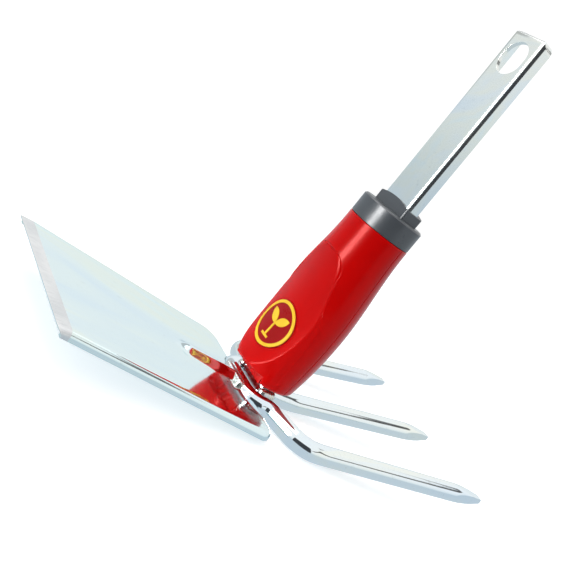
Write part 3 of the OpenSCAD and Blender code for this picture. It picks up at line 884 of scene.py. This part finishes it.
def stage_plate(name, corners, material):
    mesh = bpy.data.meshes.new(name)
    mesh.from_pydata(corners, [], [tuple(range(len(corners)))])
    mesh.materials.append(material)
    plate = bpy.data.objects.new(name, mesh)
    bpy.context.scene.collection.objects.link(plate)
    return plate


FLOOR_R = 9.0
stage_plate("floor", [(FLOOR_R * math.cos(math.radians(a)), FLOOR_R * math.sin(math.radians(a)), FLOOR_Z)
                      for a in range(0, 360, 6)],
            stage_material("floor_white", 0.92, 0.42, (0.62, 0.70, 0.76), 0.45))


def direction(azimuth, elevation):
    a, e = math.radians(azimuth), math.radians(elevation)
    return Vector((math.cos(a) * math.cos(e), math.sin(a) * math.cos(e), math.sin(e)))


def dark_card(name, azimuth, distance, half_width, low, high):
    """A dark card that shows only in mirror reflections."""
    out = direction(azimuth, 0)
    side = Vector((-out.y, out.x, 0))
    base = out * distance
    corners = [base - side * half_width, base + side * half_width]
    points = [(*c.xy, low) for c in corners] + [(*c.xy, high) for c in reversed(corners)]
    card = stage_plate(name, points, stage_material(name + "_black", 0.02, 0.02, (0.05, 0.053, 0.06)))
    card.visible_camera = False
    card.visible_diffuse = False
    card.visible_shadow = False
    card.visible_transmission = False


dark_card("card_behind_camera", 66.0, 0.62, 0.40, FLOOR_Z + 0.002, 0.46)


def build_world():
    world = bpy.data.worlds.new("studio")
    bpy.context.scene.world = world
    world.use_nodes = True
    tree = world.node_tree
    tree.nodes.clear()

    def math_node(operation, a, b=0.0, c=0.0):
        made = tree.nodes.new("ShaderNodeMath")
        made.operation = operation
        for index, value in enumerate((a, b, c)):
            if isinstance(value, bpy.types.NodeSocket):
                tree.links.new(value, made.inputs[index])
            else:
                made.inputs[index].default_value = value
        return made.outputs[0]

    def ramp_up(value, low, high):
        made = tree.nodes.new("ShaderNodeMapRange")
        made.interpolation_type = "SMOOTHSTEP"
        tree.links.new(value, made.inputs["Value"])
        made.inputs["From Min"].default_value = low
        made.inputs["From Max"].default_value = high
        return made.outputs["Result"]

    coords = tree.nodes.new("ShaderNodeTexCoord")
    split = tree.nodes.new("ShaderNodeSeparateXYZ")
    tree.links.new(coords.outputs["Generated"], split.inputs[0])
    height = split.outputs["Z"]
    sky = tree.nodes.new("ShaderNodeValToRGB")
    tree.links.new(math_node("MULTIPLY_ADD", height, 0.5, 0.5), sky.inputs["Fac"])
    stops = [(0.0, (0.50, 0.55, 0.60)), (0.5, (0.62, 0.70, 0.74)), (0.56, (0.84, 0.90, 0.92)),
             (0.66, (1.0, 1.0, 1.0)), (1.0, (1.05, 1.05, 1.05))]
    while len(sky.color_ramp.elements) < len(stops):
        sky.color_ramp.elements.new(0.5)
    for element, (position, colour) in zip(sky.color_ramp.elements, stops):
        element.position = position
        element.color = (*colour, 1)
    # thin dark joint between the bright panels, which the tines mirror along their length
    azimuth = math_node("ARCTAN2", split.outputs["Y"], split.outputs["X"])
    joint = math_node("MULTIPLY_ADD", math_node("SUBTRACT", azimuth, math.radians(136)), 0.27, 0.58)
    line = math_node("SUBTRACT", 1.0, ramp_up(
        math_node("ABSOLUTE", math_node("SUBTRACT", height, joint)), 0.025, 0.05))
    line = math_node("MULTIPLY", line, ramp_up(azimuth, math.radians(95), math.radians(112)))
    line = math_node("MULTIPLY", line, math_node("SUBTRACT", 1.0, ramp_up(
        azimuth, math.radians(166), math.radians(178))))
    shade = math_node("SUBTRACT", 1.0, math_node("MULTIPLY", line, 0.9))
    # grey flag high on the far side, which gives the rounded end of the tang its tone
    toward = math_node("MULTIPLY_ADD", split.outputs["X"], 0.20, math_node("MULTIPLY", height, 0.64))
    toward = math_node("MULTIPLY_ADD", split.outputs["Y"], -0.74, toward)
    flag = ramp_up(toward, 0.80, 0.90)
    shade = math_node("MULTIPLY", shade, math_node("SUBTRACT", 1.0, math_node("MULTIPLY", flag, 0.42)))
    path = tree.nodes.new("ShaderNodeLightPath")
    softer = math_node("SUBTRACT", 1.0, math_node("MULTIPLY", path.outputs["Is Diffuse Ray"], 0.36))
    shade = math_node("MULTIPLY", shade, softer)
    back = tree.nodes.new("ShaderNodeBackground")
    tree.links.new(sky.outputs["Color"], back.inputs["Color"])
    tree.links.new(shade, back.inputs["Strength"])
    seen = tree.nodes.new("ShaderNodeBackground")
    seen.inputs["Color"].default_value = (1, 1, 1, 1)
    seen.inputs["Strength"].default_value = 1.1
    mixer = tree.nodes.new("ShaderNodeMixShader")
    tree.links.new(path.outputs["Is Camera Ray"], mixer.inputs["Fac"])
    tree.links.new(back.outputs[0], mixer.inputs[1])
    tree.links.new(seen.outputs[0], mixer.inputs[2])
    output = tree.nodes.new("ShaderNodeOutputWorld")
    tree.links.new(mixer.outputs[0], output.inputs["Surface"])


build_world()


def soft_light(name, place, target, width, height, power):
    data = bpy.data.lights.new(name, "AREA")
    data.shape = "RECTANGLE"
    data.size = width
    data.size_y = height
    data.energy = power
    lamp = bpy.data.objects.new(name, data)
    bpy.context.scene.collection.objects.link(lamp)
    lamp.location = place
    lamp.rotation_euler = (Vector(target) - Vector(place)).to_track_quat("-Z", "Y").to_euler()
    return lamp


soft_light("overhead_softbox", (0.40, -0.60, 1.25), (0, 0, -0.08), 1.3, 1.3, 9.0)
panel_place = direction(9, 9) * 0.62 + Vector((0, 0, 0.04))
grip_panel = soft_light("grip_panel", panel_place, (0, 0, 0), 0.20, 0.42, 5.4)
grip_panel.visible_diffuse = False
grip_fill = soft_light("grip_fill", panel_place, (0, 0, 0), 0.34, 0.42, 2.1)
grip_fill.visible_glossy = False
low_panel = soft_light("low_panel", direction(8, -10) * 0.34, (0, 0, -0.02), 0.12, 0.075, 0.22)
low_panel.visible_diffuse = False

camera_data = bpy.data.cameras.new("camera")
camera_data.sensor_width = 36.0
camera_data.lens = 47.86153
camera_data.clip_start = 0.01
camera_data.clip_end = 50.0
camera = bpy.data.objects.new("camera", camera_data)
bpy.context.scene.collection.objects.link(camera)
camera_right = Vector((-0.673095, 0.411391, 0.614573))
camera_up = Vector((0.371980, -0.529910, 0.762120))
camera_back = Vector((0.639198, 0.741588, 0.203650))
camera.matrix_world = Matrix.Translation((0.231205, 0.243418, 0.014103)) @ Matrix(
    (camera_right, camera_up, camera_back)).transposed().to_4x4()
bpy.context.scene.camera = camera
bpy.context.scene.view_settings.view_transform = "Standard"
bpy.context.scene.view_settings.look = "None"
